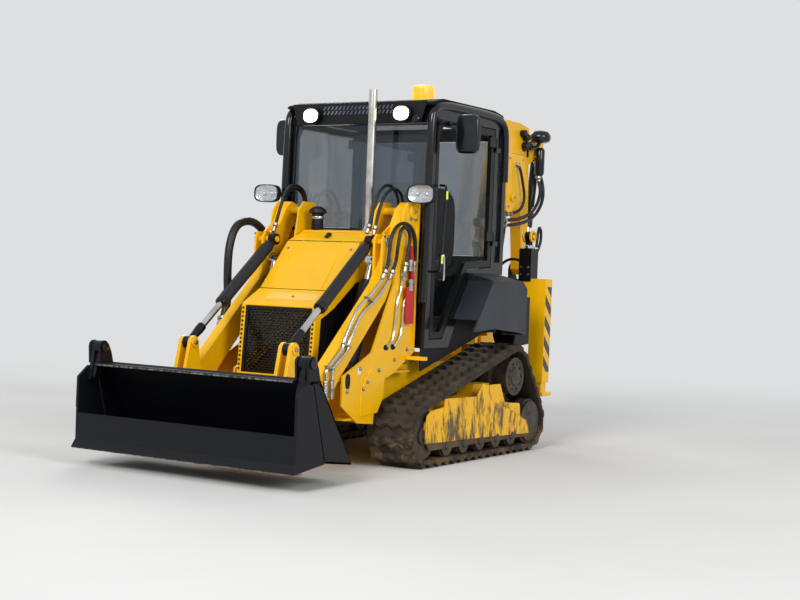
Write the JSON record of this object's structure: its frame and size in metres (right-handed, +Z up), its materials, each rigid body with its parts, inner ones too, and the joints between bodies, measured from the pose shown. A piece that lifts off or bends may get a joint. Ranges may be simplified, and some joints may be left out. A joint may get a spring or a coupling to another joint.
{
  "type": "compact tracked backhoe loader",
  "caption": "Compact loader on rubber tracks with a clam shovel on lift arms, a glazed cab and a folded digging arm between sliding stabiliser legs.",
  "frame": {"origin": "on the ground under the middle of the machine's box", "axes": "+Z up, +Y towards the rear, +X towards the machine's left side"},
  "size_m": [1.562, 4.196, 2.3624],
  "materials": {
    "rubber": "matte moulded rubber with dried mud",
    "dark_steel": "dark painted steel with mud",
    "yellow_paint": "gloss amber-yellow enamel on steel plate",
    "black_paint": "satin black enamel",
    "black_plastic": "moulded black plastic",
    "bright_steel": "bright stainless tube",
    "glass": "clear tinted safety glass",
    "seat_fabric": "black seat cloth",
    "lamp": "lamp housings and lenses",
    "chrome": "hard chromed rod",
    "shovel_paint": "black enamel worn at the edges"
  },
  "bodies": {
    "machine": {"air_precleaner": "black_plastic", "bonnet": "yellow_paint", "cab_frame": "black_paint", "cab_glass": "glass", "cab_roof": "black_paint", "chassis_frame": "yellow_paint", "controls": "black_plastic", "drive_sprockets": "dark_steel", "engine_block": "dark_steel", "exhaust_stack": "bright_steel", "fender_left": "black_plastic", "fender_right": "black_plastic", "grille": "black_paint", "headlamps": "lamp", "lamps": "lamp", "loader_tower_left": "yellow_paint", "loader_tower_right": "yellow_paint", "operator_seat": "seat_fabric", "rear_frame": "yellow_paint", "stabiliser_covers": "black_paint", "track_frame_left": "yellow_paint", "track_frame_right": "yellow_paint", "track_left": "rubber", "track_right": "rubber", "track_wheels": "dark_steel"},
    "loader_arms": {"loader_arms": "yellow_paint"},
    "lift_barrels": {"lift_barrels": "black_paint"},
    "lift_rods": {"lift_rods": "chrome"},
    "tilt_barrels": {"tilt_barrels": "black_paint"},
    "tilt_rods": {"tilt_rods": "chrome"},
    "shovel_back": {"shovel_back": "shovel_paint"},
    "shovel_clam": {"shovel_clam": "shovel_paint"},
    "door_left": {"door_left": "black_paint", "door_glass_left": "glass", "mirror_left": "black_plastic"},
    "door_right": {"door_right": "black_paint", "door_glass_right": "glass", "mirror_right": "black_plastic"},
    "stabiliser_left": {"stabiliser_leg_left": "yellow_paint"},
    "stabiliser_right": {"stabiliser_leg_right": "yellow_paint"},
    "hoe_carriage": {"hoe_carriage": "yellow_paint"},
    "hoe_boom": {"hoe_boom": "yellow_paint"},
    "hoe_dipper": {"hoe_dipper": "yellow_paint"},
    "hoe_bucket": {"hoe_bucket": "shovel_paint"},
    "boom_ram_barrel": {"boom_ram_barrel": "black_paint"},
    "boom_ram_rod": {"boom_ram_rod": "chrome"},
    "bucket_ram_barrel": {"bucket_ram_barrel": "black_paint"},
    "bucket_ram_rod": {"bucket_ram_rod": "chrome"},
    "dipper_ram_barrel": {"dipper_ram_barrel": "black_paint"},
    "dipper_ram_rod": {"dipper_ram_rod": "chrome"}
  },
  "joints": [
    {"name": "loader_lift", "type": "hinge", "parent": "machine", "child": "loader_arms", "pos_m": [0, -0.545, 1.545], "axis": [-1, 0, 0], "range_deg": [-3, 75]},
    {"name": "shovel_tilt", "type": "hinge", "parent": "loader_arms", "child": "shovel_back", "pos_m": [0, -1.54, 0.4], "axis": [-1, 0, 0], "range_deg": [-60, 30]},
    {"name": "clam_open", "type": "hinge", "parent": "shovel_back", "child": "shovel_clam", "pos_m": [0, -1.944, 0.675], "axis": [-1, 0, 0], "range_deg": [0, 60]},
    {"name": "lift_barrel_pivot", "type": "hinge", "parent": "machine", "child": "lift_barrels", "pos_m": [0, -1, 0.52], "axis": [1, 0, 0], "range_deg": [-0.58, 13.36]},
    {"name": "lift_rod_slide", "type": "slide", "parent": "lift_barrels", "child": "lift_rods", "axis": [0, 0.2968, 0.9549], "range_m": [-0.01721, 0.41815]},
    {"name": "tilt_barrel_pivot", "type": "hinge", "parent": "loader_arms", "child": "tilt_barrels", "pos_m": [0, -0.804, 1.35], "axis": [1, 0, 0], "range_deg": [-3.53, 1.79]},
    {"name": "tilt_rod_slide", "type": "slide", "parent": "tilt_barrels", "child": "tilt_rods", "axis": [0, -0.7801, -0.6257], "range_m": [-0.14075, 0.28101]},
    {"name": "door_left_hinge", "type": "hinge", "parent": "machine", "child": "door_left", "pos_m": [0.561, 0.374, 1.43], "axis": [0, 0, 1], "range_deg": [0, 85]},
    {"name": "door_right_hinge", "type": "hinge", "parent": "machine", "child": "door_right", "pos_m": [-0.561, 0.374, 1.43], "axis": [0, 0, -1], "range_deg": [0, 85]},
    {"name": "stabiliser_left_drop", "type": "slide", "parent": "machine", "child": "stabiliser_left", "axis": [0, 0, -1], "range_m": [0, 0.35]},
    {"name": "stabiliser_right_drop", "type": "slide", "parent": "machine", "child": "stabiliser_right", "axis": [0, 0, -1], "range_m": [0, 0.35]},
    {"name": "hoe_slew", "type": "hinge", "parent": "machine", "child": "hoe_carriage", "pos_m": [0, 1.15, 0.605], "axis": [0, 0, 1], "range_deg": [-85, 85]},
    {"name": "hoe_boom_swing", "type": "hinge", "parent": "hoe_carriage", "child": "hoe_boom", "pos_m": [0, 1.29, 0.64], "axis": [-1, 0, 0], "range_deg": [0, 105]},
    {"name": "hoe_dipper_swing", "type": "hinge", "parent": "hoe_boom", "child": "hoe_dipper", "pos_m": [0, 1.74, 2.16], "axis": [1, 0, 0], "range_deg": [0, 110]},
    {"name": "hoe_bucket_curl", "type": "hinge", "parent": "hoe_dipper", "child": "hoe_bucket", "pos_m": [0, 1.83, 1.23], "axis": [1, 0, 0], "range_deg": [0, 95]},
    {"name": "boom_ram_barrel_pivot", "type": "hinge", "parent": "hoe_carriage", "child": "boom_ram_barrel", "pos_m": [0, 1.19, 0.82], "axis": [1, 0, 0], "range_deg": [-108.09, 0.05]},
    {"name": "boom_ram_rod_slide", "type": "slide", "parent": "boom_ram_barrel", "child": "boom_ram_rod", "axis": [0, 0, 1], "range_m": [-0.0005, 0.32495]},
    {"name": "bucket_ram_barrel_pivot", "type": "hinge", "parent": "hoe_dipper", "child": "bucket_ram_barrel", "pos_m": [0, 2.062, 2.19], "axis": [1, 0, 0], "range_deg": [-0.051, 0.706]},
    {"name": "bucket_ram_rod_slide", "type": "slide", "parent": "bucket_ram_barrel", "child": "bucket_ram_rod", "axis": [0, -0.1596, -0.9872], "range_m": [-0.17719, 0.0005]},
    {"name": "dipper_ram_barrel_pivot", "type": "hinge", "parent": "hoe_boom", "child": "dipper_ram_barrel", "pos_m": [0, 1.185, 1.56], "axis": [1, 0, 0], "range_deg": [-13.43, 0.05]},
    {"name": "dipper_ram_rod_slide", "type": "slide", "parent": "dipper_ram_barrel", "child": "dipper_ram_rod", "axis": [0, 0.5238, 0.8519], "range_m": [-0.22163, 0.0005]}
  ],
  "couplings": [
    {"joint": "lift_barrel_pivot", "follows": "loader_lift", "ratio": 0.1775},
    {"joint": "lift_rod_slide", "follows": "loader_lift", "m_per_rad": 0.31906},
    {"joint": "tilt_barrel_pivot", "follows": "shovel_tilt", "ratio": 0.058034},
    {"joint": "tilt_rod_slide", "follows": "shovel_tilt", "m_per_rad": -0.26787},
    {"joint": "boom_ram_barrel_pivot", "follows": "hoe_boom_swing", "ratio": -1.029},
    {"joint": "boom_ram_rod_slide", "follows": "hoe_boom_swing", "m_per_rad": 0.17705},
    {"joint": "bucket_ram_barrel_pivot", "follows": "hoe_bucket_curl", "ratio": 0.006895},
    {"joint": "bucket_ram_rod_slide", "follows": "hoe_bucket_curl", "m_per_rad": -0.10656},
    {"joint": "dipper_ram_barrel_pivot", "follows": "hoe_dipper_swing", "ratio": -0.12166},
    {"joint": "dipper_ram_rod_slide", "follows": "hoe_dipper_swing", "m_per_rad": -0.11518}
  ]
}
